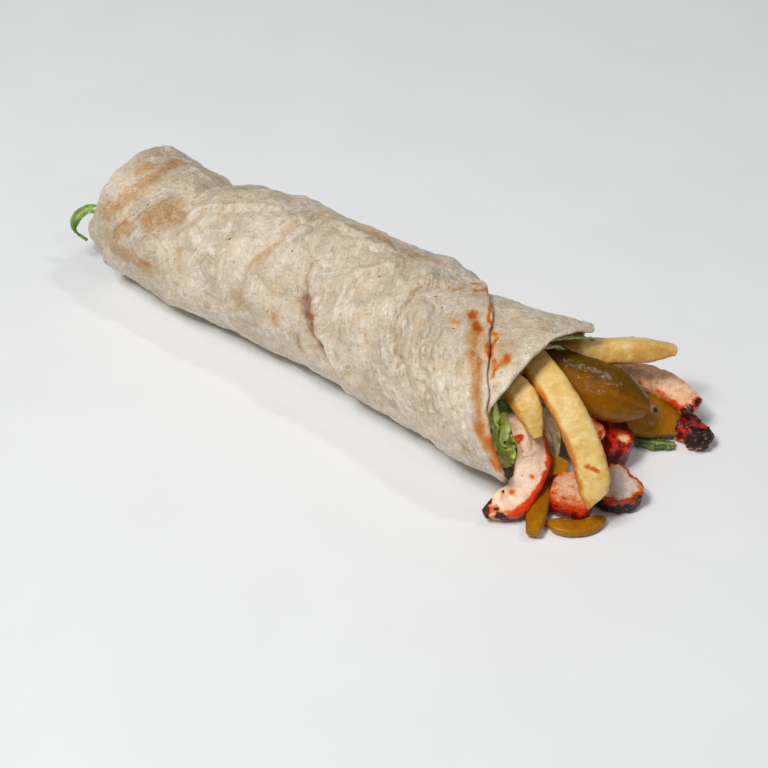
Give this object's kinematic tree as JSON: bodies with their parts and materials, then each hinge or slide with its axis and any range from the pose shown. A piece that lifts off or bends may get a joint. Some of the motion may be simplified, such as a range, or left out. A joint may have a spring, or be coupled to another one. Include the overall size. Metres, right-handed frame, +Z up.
{
  "type": "gyro wrap",
  "caption": "Flatbread rolled into a cylinder round a packed filling, lying on its side, with fries, gherkins, roast chicken and lettuce fanning out of its open end.",
  "frame": {"origin": "on the surface that the wrap rests on, under the middle of the bread roll, on the flat strip along its underside", "axes": "+X along the roll towards its open end, +Y towards the side where the outer flap's edge lies, +Z up"},
  "size_m": [0.2836, 0.0978, 0.0592],
  "materials": {
    "flatbread": "matte, soft baked crust",
    "fry": "fried, slightly oily",
    "gherkin": "wet and glossy",
    "chicken": "roast meat, slightly oily",
    "glazed_chicken": "glossy red glaze",
    "charred_chicken": "charred, slightly oily",
    "lettuce": "fresh leaf, soft gloss"
  },
  "bodies": {
    "root": {"flatbread": "flatbread", "lettuce_filling": "lettuce", "lettuce_leaf": "lettuce", "fry_long": "fry", "fry_short": "fry", "fry_far": "fry", "gherkin_half": "gherkin", "gherkin_end": "gherkin", "gherkin_stick": "gherkin", "gherkin_bit": "gherkin", "gherkin_slice": "gherkin", "chicken_near": "chicken", "chicken_block": "chicken", "chicken_slice": "chicken", "chicken_shred": "chicken", "chicken_far": "chicken", "chicken_glazed": "glazed_chicken", "chicken_charred": "charred_chicken"}
  },
  "joints": []
}
